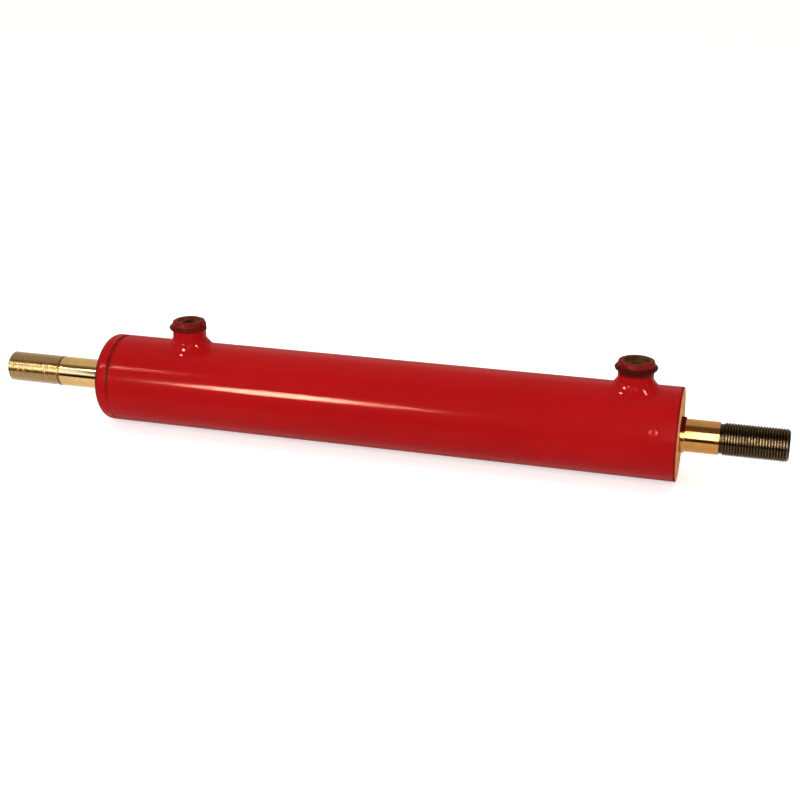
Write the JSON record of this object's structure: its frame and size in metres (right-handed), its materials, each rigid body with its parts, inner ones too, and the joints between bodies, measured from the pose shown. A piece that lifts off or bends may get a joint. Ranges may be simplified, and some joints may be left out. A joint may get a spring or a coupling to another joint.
{
  "type": "hydraulic cylinder",
  "caption": "Double-ended hydraulic cylinder: red round barrel, one through rod with a thread on each end, welded port bosses with plugs on top.",
  "frame": {"origin": "on the rod axis, halfway along the barrel", "axes": "+X along the rod towards the flush end, +Z towards the ports, -Y towards the viewer of the picture"},
  "size_m": [0.5715, 0.0634, 0.081],
  "materials": {
    "paint": "glossy red enamel sprayed over the welded barrel",
    "bare_steel": "turned bare steel with a warm oil film",
    "chrome": "hard chrome shank with dull threaded ends",
    "bronze": "sintered bronze",
    "piston_iron": "turned ductile iron",
    "spring_steel": "black phosphate",
    "nitrile": "black nitrile rubber",
    "urethane": "dark red polyurethane",
    "wear_ring": "fabric-filled phenolic",
    "ptfe": "filled fluoroplastic",
    "plug_plastic": "soft plastic with red overspray"
  },
  "bodies": {
    "barrel": {"barrel_tube": "paint", "left_port_boss": "paint", "right_port_boss": "paint", "left_port_weld": "paint", "right_port_weld": "paint", "left_gland": "paint", "right_gland": "bare_steel", "left_gland_oring": "nitrile", "left_gland_backup_ring": "ptfe", "right_gland_oring": "nitrile", "right_gland_backup_ring": "ptfe", "right_gland_lock_screw": "paint", "left_rod_wiper": "urethane", "right_rod_wiper": "urethane", "left_rod_seal": "urethane", "right_rod_seal": "urethane", "left_rod_bushing": "bronze", "right_rod_bushing": "bronze"},
    "piston_rings": {"piston_seal": "ptfe", "piston_seal_energizer": "nitrile", "left_piston_wear_ring": "wear_ring", "right_piston_wear_ring": "wear_ring"},
    "rod": {"rod": "chrome", "piston": "piston_iron", "piston_rod_oring": "nitrile", "left_stop_tube": "bare_steel", "right_stop_tube": "bare_steel", "left_retaining_ring": "spring_steel", "right_retaining_ring": "spring_steel"},
    "left_plug": {"left_port_plug": "plug_plastic"},
    "right_plug": {"right_port_plug": "plug_plastic"}
  },
  "joints": [
    {"name": "rod_slide", "type": "slide", "parent": "barrel", "child": "piston_rings", "axis": [1, 0, 0], "range_m": [-0.01815, 0.03265]},
    {"name": "rod_turn", "type": "hinge", "parent": "piston_rings", "child": "rod", "pos_m": [0, 0, 0], "axis": [1, 0, 0], "continuous": true},
    {"name": "left_plug_pull", "type": "slide", "parent": "barrel", "child": "left_plug", "axis": [0, 0, 1], "range_m": [0, 0.012]},
    {"name": "right_plug_pull", "type": "slide", "parent": "barrel", "child": "right_plug", "axis": [0, 0, 1], "range_m": [0, 0.012]}
  ]
}
